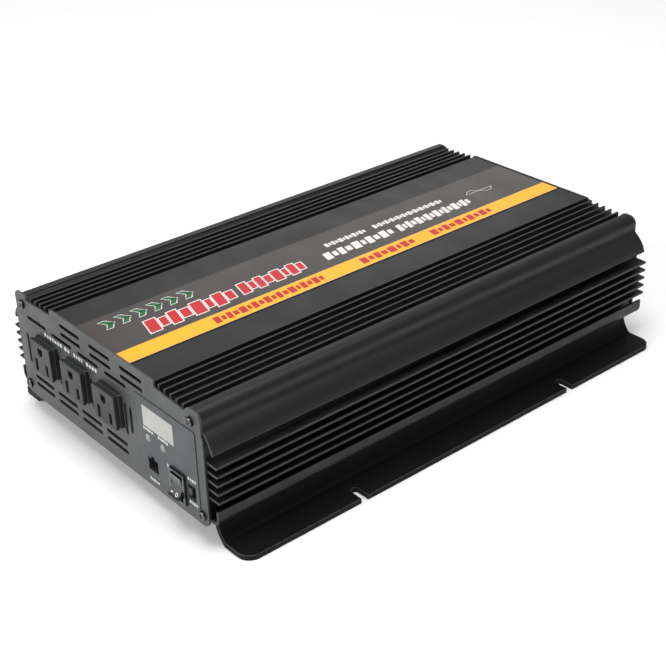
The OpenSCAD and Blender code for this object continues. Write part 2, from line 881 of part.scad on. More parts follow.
module fan_screws() {
    color("silver")
        for (side = [-1, 1], x = [-1, 1], z = [-1, 1])
        translate([side * fan_x + x * fan_screw_at, 0,
                   fan_z + z * fan_screw_at]) {
            rod_y(screw_d / 2, 0, 0, fan_y0 + 4, rear_y + 1.2 + eps);
            rod_y(2.9, 0, 0, rear_y + 1.2, rear_y + 3);
        }
}

// -------------------------------------------------------------- terminals

module terminal_base(side, tint) {
    collar_d = stud_d + 4;
    color(tint) translate([side * terminal_spacing / 2, 0, terminal_z])
        difference() {
        union() {
            along_y(rear_y, rear_y + terminal_t)
                round_rect(terminal_w, stud_pitch + 25, 3);
            for (z = [-1, 1])
                rod_y(collar_d / 2, 0, z * stud_pitch / 2,
                      shell_y1 - 2, rear_y + eps);
        }
        for (z = [-1, 1])
            rod_y(stud_d / 2 + fit_gap / 2, 0, z * stud_pitch / 2,
                  shell_y1 - 5, rear_y + terminal_t + 1);
    }
}

module terminal_base_positive() { terminal_base(1, [0.6, 0.05, 0.05]); }

module terminal_base_negative() { terminal_base(-1, [0.05, 0.05, 0.05]); }

module terminal_studs(side) {
    inside = 9.5;
    color([0.8, 0.68, 0.35])
        translate([side * terminal_spacing / 2, 0, terminal_z])
        for (z = [-1, 1]) {
            rod_y(stud_d / 2, 0, z * stud_pitch / 2,
                  shell_y1 - inside, rear_y + stud_proud);
            // Nut that holds the stud and the bus bar behind the panel
            translate([0, shell_y1 - 2 - fit_gap - 5.5, z * stud_pitch / 2])
                rotate([-90, 0, 0]) cylinder(d = 13, h = 5.5, $fn = 6);
        }
}

module terminal_studs_positive() { terminal_studs(1); }

module terminal_studs_negative() { terminal_studs(-1); }

module terminal_knob(side, level, tint) {
    lobe_r = 1.6;
    core_r = knob_d / 2 - lobe_r / 2;
    color(tint) translate([side * terminal_spacing / 2, 0,
                           terminal_z + level * stud_pitch / 2])
        difference() {
        union() {
            rod_y(core_r, 0, 0, knob_y0, knob_y0 + knob_l);
            for (i = [0:knob_lobes - 1]) rotate([0, i * 360 / knob_lobes, 0])
                rod_y(lobe_r, core_r - lobe_r / 2, 0, knob_y0 + 2,
                      knob_y0 + knob_l - 2);
        }
        rod_y(stud_d / 2 + 0.05, 0, 0, knob_y0 - 1, knob_y0 + knob_l + 1);
    }
}

module knob_positive_upper() { terminal_knob(1, 1, [0.7, 0.06, 0.06]); }

module knob_positive_lower() { terminal_knob(1, -1, [0.7, 0.06, 0.06]); }

module knob_negative_upper() { terminal_knob(-1, 1, [0.06, 0.06, 0.06]); }

module knob_negative_lower() { terminal_knob(-1, -1, [0.06, 0.06, 0.06]); }

module ground_screw() {
    color("silver") translate([ground_at[0], 0, ground_at[1]]) {
        rod_y(2.5, 0, 0, shell_y1 - 5, rear_y + 12);
        translate([0, rear_y, 0]) rotate([-90, 0, 0])
            cylinder(d = 9.2, h = 4, $fn = 6);
        translate([0, shell_y1 - 4 - fit_gap, 0]) rotate([-90, 0, 0])
            cylinder(d = 9.2, h = 4, $fn = 6);
    }
}

// ----------------------------------------------------------------- inside

module main_board() {
    color([0.1, 0.35, 0.15]) difference() {
        translate([-board_w / 2, board_y0, board_z])
            cube([board_w, board_l, board_t]);
        for (x = [-1, 1], y = spacer_y)
            translate([x * spacer_x, y, board_z - 1])
                cylinder(d = board_hole + 2 * fit_gap, h = board_t + 2);
    }
}

module board_spacers() {
    color([0.8, 0.68, 0.35]) for (x = [-1, 1], y = spacer_y)
        translate([x * spacer_x, y, deck_z]) difference() {
            cylinder(d = 6, h = spacer_h, $fn = 6);
            translate([0, 0, -1])
                cylinder(d = board_hole + 2 * fit_gap, h = spacer_h + 2);
        }
}

module board_screws() {
    color("silver") for (x = [-1, 1], y = spacer_y)
        translate([x * spacer_x, y, 0]) {
            translate([0, 0, parts_z]) cylinder(d = 5.4, h = 2);
            translate([0, 0, floor_z + 0.4])
                cylinder(d = board_hole, h = parts_z - floor_z - 0.4 + eps);
        }
}

// The places of the four transformers on the board
module at_transformers() {
    for (x = [-1, 1], y = [0, 1])
        translate([x * 34, board_y0 + board_l - 128 + y * 54, parts_z])
            children();
}

module transformer_cores() {
    size = [50, 28, 42];
    leg = 9;
    color([0.2, 0.2, 0.2]) at_transformers() difference() {
        translate([-size[0] / 2, -size[1] / 2, 0]) cube(size);
        for (side = [-1, 1])
            translate([side * (size[0] / 4 + 1.5), 0, size[2] / 2])
                cube([size[0] / 2 - 2 * leg + 3, size[1] + 2,
                      size[2] - 2 * leg], center = true);
    }
}

module transformer_windings() {
    color([0.75, 0.5, 0.2]) at_transformers() translate([0, 0, 9.5])
        difference() {
        linear_extrude(height = 23) round_rect(36, 44, 8);
        translate([0, 0, -1]) linear_extrude(height = 25)
            square([18.4, 28.4], center = true);
    }
}

module input_capacitors() {
    can_d = 16;
    color([0.1, 0.12, 0.25]) for (i = [-3:3])
        translate([i * 20, board_y0 + board_l - 14, parts_z])
            cylinder(d = can_d, h = 31);
}

module bus_capacitors() {
    color([0.1, 0.1, 0.12]) for (i = [0:2])
        translate([-52 + i * 36, board_y0 + 106, parts_z])
            cylinder(d = 30, h = 42);
}

module output_inductor() {
    color([0.7, 0.45, 0.2]) translate([-42, board_y0 + 46, parts_z + 11])
        rotate_extrude() translate([18, 0]) round_rect(19, 22, 6);
}

// The places of the transistors along one wall
module at_transistors(side) {
    for (i = [0:transistors - 1])
        translate([side * transistor_x,
                   bar_y0 + (i + 0.5) * bar_l / transistors, transistor_z])
            children();
}

module transistor_row(side) {
    color([0.12, 0.12, 0.12]) at_transistors(side) {
        translate([side > 0 ? 0 : -transistor_t, -transistor_w / 2, 0])
            cube([transistor_t, transistor_w, transistor_h]);
        for (leg = [-1, 0, 1])
            translate([side * 2.3 - 0.4, leg * 2.54 - 0.4,
                       parts_z - transistor_z])
                cube([0.8, 0.8, transistor_z - parts_z + eps]);
    }
}

module transistors_left() { transistor_row(-1); }

module transistors_right() { transistor_row(1); }

// The places of the screws that press the clamp bars to the walls
module clamp_screw_places(side) {
    for (i = [0:2])
        translate([side * (transistor_x - bar_t),
                   bar_y0 + (1 + i * floor(transistors / 3))
                   * bar_l / transistors,
                   transistor_z + transistor_h * 0.65]) children();
}

module clamp_bars() {
    bar_h = 8;
    color([0.6, 0.62, 0.64]) for (side = [-1, 1]) difference() {
        translate([side > 0 ? transistor_x - bar_t : -transistor_x,
                   bar_y0, transistor_z + transistor_h * 0.65 - bar_h / 2])
            cube([bar_t, bar_l, bar_h]);
        clamp_screw_places(side) rotate([0, side * 90, 0])
            translate([0, 0, -1])
            cylinder(d = screw_d + 2 * fit_gap, h = bar_t + 2);
    }
}

module clamp_screws() {
    color("silver") for (side = [-1, 1]) clamp_screw_places(side)
        rotate([0, side * 90, 0]) {
            translate([0, 0, -eps])
                cylinder(d = screw_d, h = clamp_reach + eps);
            translate([0, 0, -2]) cylinder(d = 5.4, h = 2);
        }
}

module control_board() {
    color([0.12, 0.4, 0.2])
        translate([62, board_y0 + 20, parts_z])
        cube([board_t, 90, 38]);
}

module fuses() {
    color([0.8, 0.3, 0.1]) for (i = [-3:3])
        translate([i * 20 - 2.5, board_y0 + board_l - 46, parts_z])
            cube([5, 19, 16]);
}

// A copper bar from the studs down to the main board, on each side
module bus_bars() {
    room = 2 * (fan_x - fan_size / 2 - terminal_spacing / 2);
    bar_w = min(15, room - 1);
    thick = 2;
    drop = 6;
    back = shell_y1 - 2 - 2 * fit_gap - 5.5;
    low = parts_z;
    high = terminal_z + stud_pitch / 2 + 8;
    color([0.72, 0.42, 0.25]) for (side = [-1, 1])
        translate([side * terminal_spacing / 2 - bar_w / 2, 0, 0])
        difference() {
        union() {
            translate([0, back - thick, low - drop])
                cube([bar_w, thick, high - low + drop]);
            translate([0, board_y0 + board_l - 5, low])
                cube([bar_w, back - thick - board_y0 - board_l + 5 + eps,
                      thick]);
        }
        for (z = [-1, 1])
            rod_y(stud_d / 2 + fit_gap, bar_w / 2,
                  terminal_z + z * stud_pitch / 2, back - 5, back + 5);
    }
}

top_cover();
chassis();
mounting_base();
front_panel();
rear_panel();
front_panel_screws();
rear_panel_screws();
base_screws();
top_label();
control_overlay();
display_window();
display_module();
power_led();
fault_led();
remote_jack();
jack_contacts();
rocker_frame();
rocker();
slide_switch_body();
slide_knob();
outlet_left();
outlet_middle();
outlet_right();
outlet_contacts();
fan_frame_left();
fan_frame_right();
fan_rotor_left();
fan_rotor_right();
fan_guard_left();
fan_guard_right();
fan_screws();
terminal_base_positive();
terminal_base_negative();
terminal_studs_positive();
terminal_studs_negative();
knob_positive_upper();
knob_positive_lower();
knob_negative_upper();
knob_negative_lower();
ground_screw();
main_board();
board_spacers();
board_screws();
transformer_cores();
transformer_windings();
input_capacitors();
bus_capacitors();
output_inductor();
transistors_left();
transistors_right();
clamp_bars();
clamp_screws();
control_board();
fuses();
bus_bars();
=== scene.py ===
"""Looks of a power inverter: finned black housing, panels, controls and terminals."""

import json
import logging
import math
from dataclasses import dataclass, field, replace
from enum import Enum
from typing import Sequence

import bmesh
import bpy
from mathutils import Matrix, Vector

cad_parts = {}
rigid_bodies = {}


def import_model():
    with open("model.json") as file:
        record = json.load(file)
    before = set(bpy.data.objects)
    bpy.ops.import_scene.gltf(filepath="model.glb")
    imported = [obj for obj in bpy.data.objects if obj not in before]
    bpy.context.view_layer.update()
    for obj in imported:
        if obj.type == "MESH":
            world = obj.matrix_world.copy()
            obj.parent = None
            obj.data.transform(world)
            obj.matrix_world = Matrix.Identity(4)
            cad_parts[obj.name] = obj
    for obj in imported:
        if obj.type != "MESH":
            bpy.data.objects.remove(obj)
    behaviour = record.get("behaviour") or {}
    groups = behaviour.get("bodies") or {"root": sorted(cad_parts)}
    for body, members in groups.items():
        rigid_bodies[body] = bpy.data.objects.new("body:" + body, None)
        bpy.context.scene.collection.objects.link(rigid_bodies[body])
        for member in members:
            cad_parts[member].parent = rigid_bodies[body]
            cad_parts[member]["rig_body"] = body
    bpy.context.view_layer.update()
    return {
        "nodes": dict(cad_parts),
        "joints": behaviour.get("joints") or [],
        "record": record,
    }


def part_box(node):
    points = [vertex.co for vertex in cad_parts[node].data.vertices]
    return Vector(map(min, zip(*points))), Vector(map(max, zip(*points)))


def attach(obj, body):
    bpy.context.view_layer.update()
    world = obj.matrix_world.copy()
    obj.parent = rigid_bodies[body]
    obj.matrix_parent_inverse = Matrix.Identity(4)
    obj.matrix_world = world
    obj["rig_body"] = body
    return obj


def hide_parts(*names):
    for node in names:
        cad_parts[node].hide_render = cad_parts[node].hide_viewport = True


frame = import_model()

MM = 0.001
WELD_MM = 0.002
SLIMMEST_CUSP = math.radians(20.0)
# Face attribute on the bevels, which the finishes paint paler: part edge wear, part painted
# highlight where the edges catch the light.
EDGE_WEAR_AND_HIGHLIGHT = "edge_wear_and_painted_highlight"
log = logging.getLogger("inverter")

Socket = bpy.types.NodeSocket
Tree = bpy.types.NodeTree
Object = bpy.types.Object
Material = bpy.types.Material


# --------------------------------------------------------------- small tools


def linear(colour: str) -> tuple[float, float, float, float]:
    """Turns an sRGB hex colour into linear values.

    Args:
        colour: Six hex digits after a hash sign.

    Returns:
        Red, green, blue and an alpha of one.
    """
    parts = [int(colour[i : i + 2], 16) / 255 for i in (1, 3, 5)]
    lin = [c / 12.92 if c <= 0.04045 else ((c + 0.055) / 1.055) ** 2.4 for c in parts]
    return (lin[0], lin[1], lin[2], 1.0)


def add_node(tree: Tree, kind: str, inputs: dict | None = None, **settings) -> bpy.types.Node:
    """Adds one shader node, with its settings, constants and links.

    Args:
        tree: The node tree that gets it.
        kind: The node's type, without the ShaderNode prefix.
        inputs: Socket name or number to a constant or to an output socket.
        settings: Properties of the node itself.

    Returns:
        The new node.
    """
    made = tree.nodes.new("ShaderNode" + kind)
    for name, value in settings.items():
        setattr(made, name, value)
    for key, value in (inputs or {}).items():
        if isinstance(value, Socket):
            tree.links.new(value, made.inputs[key])
        else:
            made.inputs[key].default_value = value
    return made


def dress(piece: Object, *materials: Material) -> None:
    """Puts materials on a piece, in place of what it had."""
    piece.data.materials.clear()
    for material in materials:
        piece.data.materials.append(material)


def to_piece(bm: bmesh.types.BMesh, name: str, body: str, slot: str,
             smooth: float = 30.0) -> Object:
    """Turns a finished mesh into a piece that rides on a body.

    Args:
        bm: The mesh, already in place; it is freed.
        name: Name of the piece.
        body: CAD body that it moves with.
        slot: Material slot of the record; not used.
        smooth: Edges sharper than this, in degrees, stay crisp.

    Returns:
        The piece.
    """
    mesh = bpy.data.meshes.new(name)
    bm.to_mesh(mesh)
    bm.free()
    mesh.shade_smooth()
    mesh.set_sharp_from_angle(angle=math.radians(smooth))
    piece = bpy.data.objects.new(name, mesh)
    bpy.context.scene.collection.objects.link(piece)
    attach(piece, body)
    log.info("%s rides on %s, %d faces", name, body, len(mesh.polygons))
    return piece


def size_in(extent: Sequence[float]) -> Vector:
    """Millimetres to metres, as a vector."""
    return Vector(extent) * MM


# ------------------------------------------------------------------ finishes


class Grain(Enum):
    """How the marks of making lie on a surface."""

    SPECKLE = "speckle"
    DRAWN = "drawn along the length"
    PEBBLE = "pebbled"
    WOUND = "wound wire"


@dataclass(frozen=True)
class Finish:
    """A finish: its colour and gloss, and the marks that its making leaves.

    Sizes are in millimetres, and colours are sRGB hex values.
    """

    name: str
    base: str
    shade: str
    roughness: float
    metallic: float = 0.0
    spread: float = 0.08
    grain: Grain = Grain.SPECKLE
    grain_mm: float = 0.6
    relief_mm: float = 0.01
    # Colour of the bevelled edges: part wear, part painted highlight where the edges catch the
    # light.
    wear_and_highlight: str = ""
    wear_and_highlight_share: float = 0.7
    coat: float = 0.0
    ior: float = 1.5
    specular: float = 0.5
    clear: float = 0.0

    def grain_socket(self, tree: Tree, place: Socket) -> Socket:
        """Draws the grain of the surface.

        Args:
            tree: Node tree of the material.
            place: Object coordinates, in metres.

        Returns:
            A value from 0 to 1 that follows the grain.
        """
        step = 1 / (self.grain_mm * MM)
        stretch = (step, step / 60, step) if self.grain is Grain.DRAWN else (step,) * 3
        mapped = add_node(tree, "Mapping", {"Vector": place, "Scale": stretch})
        where = mapped.outputs[0]
        if self.grain is Grain.PEBBLE:
            cells = add_node(tree, "TexVoronoi", {"Vector": where, "Scale": 1.0},
                             feature="SMOOTH_F1")
            return cells.outputs["Distance"]
        if self.grain is Grain.WOUND:
            turns = add_node(tree, "TexWave", {"Vector": where, "Scale": 0.16,
                                               "Distortion": 0.4},
                             wave_type="BANDS", bands_direction="Z")
            return turns.outputs["Fac"]
        noise = add_node(tree, "TexNoise", {"Vector": where, "Scale": 1.0,
                                            "Detail": 4.0, "Roughness": 0.55})
        return noise.outputs["Fac"]

    def colour(self, tree: Tree, place: Socket, grain: Socket) -> Socket:
        """Mixes the two colours by the grain and by a slow cloudiness.

        Args:
            tree: Node tree of the material.
            place: Object coordinates, in metres.
            grain: The grain, from 0 to 1.

        Returns:
            The colour.
        """
        cloud = add_node(tree, "TexNoise", {"Vector": place, "Scale": 14.0, "Detail": 3.0})
        both = add_node(tree, "Math", {0: grain, 1: cloud.outputs["Fac"]}, operation="MULTIPLY")
        share = add_node(tree, "MapRange", {"Value": both.outputs[0], "From Min": 0.1,
                                            "From Max": 0.45})
        mix = add_node(tree, "Mix", {"Factor": share.outputs[0], 6: linear(self.shade),
                                     7: linear(self.base)}, data_type="RGBA")
        if not self.wear_and_highlight:
            return mix.outputs[2]
        # Bevelled edges get the paler edge colour, broken up by noise: part wear, part painted
        # highlight.
        edge = add_node(tree, "Attribute", attribute_name=EDGE_WEAR_AND_HIGHLIGHT)
        edge_breakup = add_node(tree, "TexNoise", {"Vector": place, "Scale": 260.0, "Detail": 2.0})
        kept = add_node(tree, "MapRange", {"Value": edge_breakup.outputs["Fac"], "From Min": 0.3,
                                           "From Max": 0.6, "To Min": 0.35})
        amount = add_node(tree, "Math", {0: edge.outputs["Fac"], 1: kept.outputs[0]},
                          operation="MULTIPLY")
        amount = add_node(tree, "Math", {0: amount.outputs[0], 1: self.wear_and_highlight_share},
                          operation="MULTIPLY")
        edge_worn_and_lit = add_node(tree, "Mix", {"Factor": amount.outputs[0], 6: mix.outputs[2],
                                        7: linear(self.wear_and_highlight)}, data_type="RGBA")
        return edge_worn_and_lit.outputs[2]

    def make(self) -> Material:
        """Builds the material.

        Returns:
            A node material on object coordinates.
        """
        made = bpy.data.materials.new(self.name)
        made.use_nodes = True
        tree = made.node_tree
        shader = tree.nodes["Principled BSDF"]
        place = add_node(tree, "TexCoord").outputs["Object"]
        grain = self.grain_socket(tree, place)
        tree.links.new(self.colour(tree, place, grain), shader.inputs["Base Color"])
        smear = add_node(tree, "TexNoise", {"Vector": place, "Scale": 45.0, "Detail": 4.0})
        rough = add_node(tree, "MapRange", {
            "Value": smear.outputs["Fac"], "From Min": 0.3, "From Max": 0.7,
            "To Min": self.roughness - self.spread, "To Max": self.roughness + self.spread})
        tree.links.new(rough.outputs[0], shader.inputs["Roughness"])
        bump = add_node(tree, "Bump", {"Height": grain, "Strength": 0.6,
                                       "Distance": self.relief_mm * MM})
        tree.links.new(bump.outputs[0], shader.inputs["Normal"])
        shader.inputs["Metallic"].default_value = self.metallic
        shader.inputs["IOR"].default_value = self.ior
        shader.inputs["Specular IOR Level"].default_value = self.specular
        shader.inputs["Coat Weight"].default_value = self.coat
        shader.inputs["Transmission Weight"].default_value = self.clear
        return made


# Anodised aluminium, extruded: a satin black skin that shows the faint lines of the die along
# its length; its cut and rubbed edges are painted paler, partly as wear and partly as painted
# highlight where the edges catch the light.
EXTRUDED = Finish("black_anodised_extrusion", "#181918", "#121312", 0.44, grain=Grain.DRAWN,
                  grain_mm=0.35, relief_mm=0.012, wear_and_highlight="#626463", wear_and_highlight_share=0.45,
                  spread=0.05, specular=0.42)
# Anodised aluminium plate, bent: duller than the extrusions, and with a colour darker than
# theirs that is painted shade for the shade falling under the body.
PLATE_WITH_PAINTED_SHADE = Finish("matt_plate_with_painted_shade", "#101111", "#0b0c0c", 0.5, grain=Grain.DRAWN,
               grain_mm=0.5, relief_mm=0.01, wear_and_highlight="#626464", wear_and_highlight_share=0.45,
               spread=0.06, specular=0.12)
# Steel sheet, powder coated: a dark grey with the fine orange peel of the cured powder.
POWDER = Finish("grey_powder_coat", "#404141", "#393a3a", 0.5, grain=Grain.PEBBLE,
                grain_mm=0.55, relief_mm=0.03, wear_and_highlight="#727473", wear_and_highlight_share=0.6)
# The same powder finish in near-black colours, on the rear panel, whose top edge shows as the
# thin dark line along the rear of the deck.
REAR_PANEL_DARK_POWDER = replace(POWDER, name="rear_panel_dark_powder", base="#1c1d1d", shade="#151616",
                       wear_and_highlight="#3c3d3d")
# Polycarbonate film, screen printed: slightly paler than the panel and silky.
OVERLAY = Finish("silky_overlay_film", "#35393c", "#2f3335", 0.42, grain=Grain.PEBBLE,
                 grain_mm=0.3, relief_mm=0.008, wear_and_highlight="#6d7074", wear_and_highlight_share=0.4)
# Vinyl film, printed and laminated: smooth, low gloss, a warm brown grey.
LABEL = Finish("laminated_label_film", "#3f3835", "#393330", 0.4, grain_mm=3.0,
               relief_mm=0.002, spread=0.04, wear_and_highlight="#2a2624", wear_and_highlight_share=0.5)
# Steel, zinc plated and blackened: dark bright metal with small pits.
SCREW = Finish("zinc_plated_steel", "#4a4b4c", "#303132", 0.34, metallic=1.0,
               grain_mm=0.5, relief_mm=0.01, wear_and_highlight="#c9cbce")
# ABS, moulded with a fine spark-eroded texture: matt black.
MOULDED = Finish("textured_moulded_plastic", "#2b2c2c", "#222323", 0.46,
                 grain=Grain.PEBBLE, grain_mm=0.35, relief_mm=0.012, wear_and_highlight="#3a3b3d",
                 wear_and_highlight_share=0.5, ior=1.49, specular=0.34)
# Polyamide, moulded in a polished tool: black with sharp highlights.
POLISHED = Finish("polished_moulded_plastic", "#151618", "#101112", 0.2, grain_mm=2.0,
                  relief_mm=0.004, wear_and_highlight="#2c2d2f", coat=0.3, ior=1.53)
# The same polyamide coloured through in red, for the positive terminal.
RED = Finish("red_moulded_plastic", "#a3151a", "#8c1015", 0.3, grain_mm=1.2,
             relief_mm=0.006, wear_and_highlight="#c0474a", coat=0.15, ior=1.53)
# Brass, turned from bar: bright yellow metal with tool rings.
BRASS = Finish("turned_brass", "#c9a253", "#b08a42", 0.26, metallic=1.0, grain_mm=0.3,
               relief_mm=0.01, wear_and_highlight="#e0c484")
# Copper strip, bare: a little darkened.
COPPER = Finish("bare_copper", "#b0714e", "#96593b", 0.34, metallic=1.0,
                grain=Grain.DRAWN, grain_mm=0.4)
# Glass-epoxy board under a green solder mask, which shows the weave a little.
BOARD = Finish("green_solder_mask", "#1d5a34", "#123f24", 0.3, grain=Grain.PEBBLE,
               grain_mm=1.1, relief_mm=0.02, coat=0.2)
# Ferrite, sintered and ground: dark grey and dry.
FERRITE = Finish("sintered_ferrite", "#2f3031", "#262728", 0.6, grain_mm=0.8,
                 relief_mm=0.03)
# Copper wire, enamelled and wound in layers: each turn catches the light.
WIRE = Finish("enamelled_copper_winding", "#a8642c", "#5c3012", 0.3, metallic=0.6,
              grain=Grain.WOUND, grain_mm=0.6, relief_mm=0.25, coat=0.3)
# PVC sleeve, shrunk on an aluminium can: dark blue and glossy.
SLEEVE = Finish("shrunk_pvc_sleeve", "#20264a", "#181c3a", 0.28, grain_mm=2.5,
                relief_mm=0.01, coat=0.2, ior=1.53)
# Aluminium bar, milled: pale metal with cutter lines.
BAR = Finish("milled_aluminium", "#b9bbbd", "#a2a4a6", 0.34, metallic=1.0,
             grain=Grain.DRAWN, grain_mm=0.5)
# Nylon fuse body, moulded and dyed: half clear orange.
FUSE = Finish("dyed_fuse_nylon", "#c8641e", "#a84d12", 0.3, grain_mm=1.5, clear=0.2,
              ior=1.53)
# Acrylic window over a pale reflective display: milky, with a slight gloss.
WINDOW = Finish("milky_display_window", "#a2a29d", "#959591", 0.24, grain_mm=4.0,
                relief_mm=0.002, wear_and_highlight="#8f908f", ior=1.49)
# Epoxy lamp, cast and diffused: a cloudy grey while it is off.
LAMP = Finish("diffused_epoxy_lamp", "#8f928d", "#7f827d", 0.26, grain_mm=1.0,
              relief_mm=0.002, clear=0.15, ior=1.53)

SLOT_FINISH: dict[str, Finish] = {
    "housing_black": EXTRUDED, "base_black": PLATE_WITH_PAINTED_SHADE, "panel_grey": POWDER,
    "screw_steel": SCREW, "label_film": LABEL, "overlay_film": OVERLAY,
    "window": WINDOW, "lamp_clear": LAMP, "black_plastic": MOULDED,
    "black_gloss": POLISHED, "red_plastic": RED, "brass": BRASS, "copper": COPPER,
    "board_green": BOARD, "ferrite": FERRITE, "winding": WIRE,
    "capacitor_sleeve": SLEEVE, "bar_aluminium": BAR, "fuse_plastic": FUSE,
}


@dataclass(frozen=True)
class Ink:
    """A screen-printed ink: flat colour with the slight mottle of the mesh."""

    name: str
    colour: str
    roughness: float = 0.42

    def make(self) -> Material:
        """Builds the ink's material.

        Returns:
            A node material with the mottle of the printing screen.
        """
        print_mesh = 0.35
        return Finish(self.name, self.colour, self.colour, self.roughness,
                      grain_mm=print_mesh, relief_mm=0.003, spread=0.04).make()


class Workshop:
    """Makes each material once and hands it out by slot or by ink."""

    def __init__(self) -> None:
        """Starts with nothing made."""
        self._made: dict[str, Material] = {}

    def get(self, finish: "Finish | Ink") -> Material:
        """Gives the material of a finish, which it makes the first time.

        Args:
            finish: The finish or ink.

        Returns:
            Its material.
        """
        if finish.name not in self._made:
            self._made[finish.name] = finish.make()
        return self._made[finish.name]

    def slot(self, name: str) -> Material:
        """The material of one of the record's slots."""
        return self.get(SLOT_FINISH[name])


# --------------------------------------------------- pieces kept from the CAD


@dataclass(frozen=True)
class EdgeBreak:
    """How the sharp edges of a made part are broken, in millimetres and degrees."""

    width: float
    segments: int = 2
    sharper_than: float = 28.0


@dataclass(frozen=True)
class Softened:
    """A CAD node's shape with its sharp edges broken, as on the real part."""

    node: str
    edge: EdgeBreak
    finish: Finish | None = None

    def build(self, shop: Workshop, slots: dict[str, str]) -> Object:
        """Makes the piece that stands for the node.

        Args:
            shop: Where its material comes from.
            slots: Node name to material slot.

        Returns:
            The piece.
        """
        source = frame["nodes"][self.node]
        body = source["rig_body"]
        bm = bmesh.new()
        bm.from_mesh(source.data)
        bmesh.ops.remove_doubles(bm, verts=bm.verts, dist=WELD_MM * MM)
        corner = math.radians(self.edge.sharper_than)
        sharp = [e for e in bm.edges
                 if e.is_manifold and e.is_convex and e.calc_face_angle(0.0) > corner]
        known = set(sharp)
        sharp = [e for e in sharp if not self._ends_in_cusp(e, known)]
        # The bevel faces are marked for the paler edge colour: part wear, part painted
        # highlight.
        mark = bm.faces.layers.float.new(EDGE_WEAR_AND_HIGHLIGHT)
        made = bmesh.ops.bevel(
            bm, geom=sharp, offset=self.edge.width * MM, offset_type="OFFSET",
            segments=self.edge.segments, profile=0.5, affect="EDGES",
            clamp_overlap=False, loop_slide=False, material=-1)
        for face in made["faces"]:
            face[mark] = 1.0
        piece = to_piece(bm, self.node + "_made", body, slots[self.node], smooth=50.0)
        weigh = piece.modifiers.new("even_shading", "WEIGHTED_NORMAL")
        weigh.keep_sharp = True
        weigh.weight = 80
        dress(piece, shop.get(self.finish) if self.finish else shop.slot(slots[self.node]))
        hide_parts(self.node)
        return piece

    @staticmethod
    def _ends_in_cusp(edge: bmesh.types.BMEdge, sharp: set[bmesh.types.BMEdge]) -> bool:
        """Tells whether an edge runs out in a point too slim for its break to turn in.

        Args:
            edge: The edge.
            sharp: Every edge that is to be broken.

        Returns:
            True if a second such edge leaves one of its ends in nearly the same direction.
        """
        for vert in edge.verts:
            way = edge.other_vert(vert).co - vert.co
            for other in vert.link_edges:
                back = other.other_vert(vert).co - vert.co
                if other is not edge and other in sharp and way.angle(back) < SLIMMEST_CUSP:
                    return True
        return False


SOFTENED = [
    Softened("top_cover", EdgeBreak(0.25)), Softened("chassis", EdgeBreak(0.2)),
    Softened("mounting_base", EdgeBreak(0.35)), Softened("front_panel", EdgeBreak(0.25)),
    Softened("rear_panel", EdgeBreak(0.25), REAR_PANEL_DARK_POWDER),
    Softened("front_panel_screws", EdgeBreak(0.12)),
    Softened("rear_panel_screws", EdgeBreak(0.12)),
    Softened("outlet_left", EdgeBreak(0.35)), Softened("outlet_middle", EdgeBreak(0.35)),
    Softened("outlet_right", EdgeBreak(0.35)), Softened("rocker_frame", EdgeBreak(0.25)),
    Softened("rocker", EdgeBreak(0.3, 3)), Softened("slide_knob", EdgeBreak(0.2)),
    Softened("remote_jack", EdgeBreak(0.2)),
    Softened("terminal_base_positive", EdgeBreak(0.5, 3)),
    Softened("terminal_base_negative", EdgeBreak(0.5, 3)),
    Softened("knob_positive_upper", EdgeBreak(0.4)),
    Softened("knob_positive_lower", EdgeBreak(0.4)),
    Softened("knob_negative_upper", EdgeBreak(0.4)),
    Softened("knob_negative_lower", EdgeBreak(0.4)),
    Softened("ground_screw", EdgeBreak(0.2)),
    Softened("fan_frame_left", EdgeBreak(0.3)), Softened("fan_frame_right", EdgeBreak(0.3)),
]


# ---------------------------------------------------------------------- print


